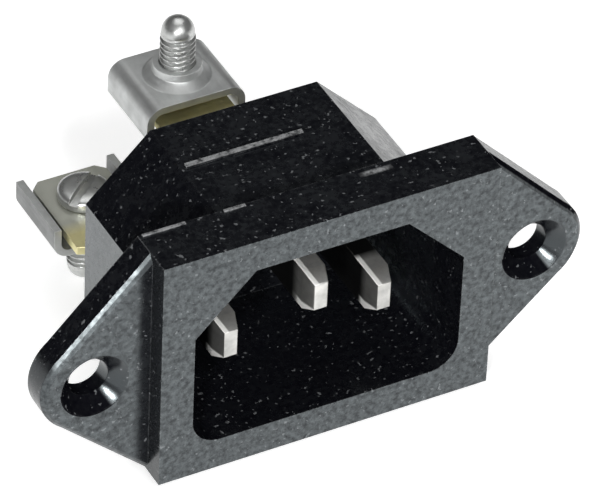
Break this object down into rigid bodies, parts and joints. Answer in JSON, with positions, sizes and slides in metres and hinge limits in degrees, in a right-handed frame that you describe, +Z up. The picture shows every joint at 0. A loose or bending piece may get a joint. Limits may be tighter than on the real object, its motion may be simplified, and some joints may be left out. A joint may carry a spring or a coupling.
{
  "type": "appliance inlet",
  "caption": "Screw-fixed panel inlet with a recessed three-blade plug opening, countersunk ears and screw terminals on the blades' tails behind.",
  "frame": {"origin": "middle of the two fixing holes, on the flange's seating face (its back face)", "axes": "+X to the right seen from the front, +Y from the front to the back through the panel, +Z up, earth blade on top"},
  "size_m": [0.0492, 0.0313, 0.0244],
  "materials": {
    "moulding": "grained thermoset moulding",
    "blade_metal": "brass, nickel plated on the contact end",
    "clamp_metal": "nickel plated steel strip",
    "screw_metal": "nickel plated steel"
  },
  "bodies": {
    "inlet_body": {"housing": "moulding", "earth_blade": "blade_metal", "line_blade": "blade_metal", "neutral_blade": "blade_metal"},
    "earth_screw_body": {"earth_screw": "screw_metal"},
    "line_screw_body": {"line_screw": "screw_metal"},
    "neutral_screw_body": {"neutral_screw": "screw_metal"},
    "earth_clamp_body": {"earth_clamp": "clamp_metal"},
    "line_clamp_body": {"line_clamp": "clamp_metal"},
    "neutral_clamp_body": {"neutral_clamp": "clamp_metal"}
  },
  "joints": [
    {"name": "earth_clamp_slide", "type": "slide", "parent": "inlet_body", "child": "earth_clamp_body", "axis": [0, 0, 1], "range_m": [-0.0008, 0.0013]},
    {"name": "earth_screw_turn", "type": "hinge", "parent": "inlet_body", "child": "earth_screw_body", "pos_m": [0, 0.0229, 0.0024], "axis": [0, 0, -1], "range_deg": [-577, 937]},
    {"name": "line_clamp_slide", "type": "slide", "parent": "inlet_body", "child": "line_clamp_body", "axis": [0, 0, -1], "range_m": [-0.0008, 0.0013]},
    {"name": "line_screw_turn", "type": "hinge", "parent": "inlet_body", "child": "line_screw_body", "pos_m": [-0.0084, 0.0229, -0.0016], "axis": [0, 0, 1], "range_deg": [-577, 937]},
    {"name": "neutral_clamp_slide", "type": "slide", "parent": "inlet_body", "child": "neutral_clamp_body", "axis": [0, 0, -1], "range_m": [-0.0008, 0.0013]},
    {"name": "neutral_screw_turn", "type": "hinge", "parent": "inlet_body", "child": "neutral_screw_body", "pos_m": [0.0084, 0.0229, -0.0016], "axis": [0, 0, 1], "range_deg": [-577, 937]}
  ],
  "couplings": [
    {"joint": "earth_screw_turn", "follows": "earth_clamp_slide", "rad_per_m": 12566},
    {"joint": "line_screw_turn", "follows": "line_clamp_slide", "rad_per_m": 12566},
    {"joint": "neutral_screw_turn", "follows": "neutral_clamp_slide", "rad_per_m": 12566}
  ]
}
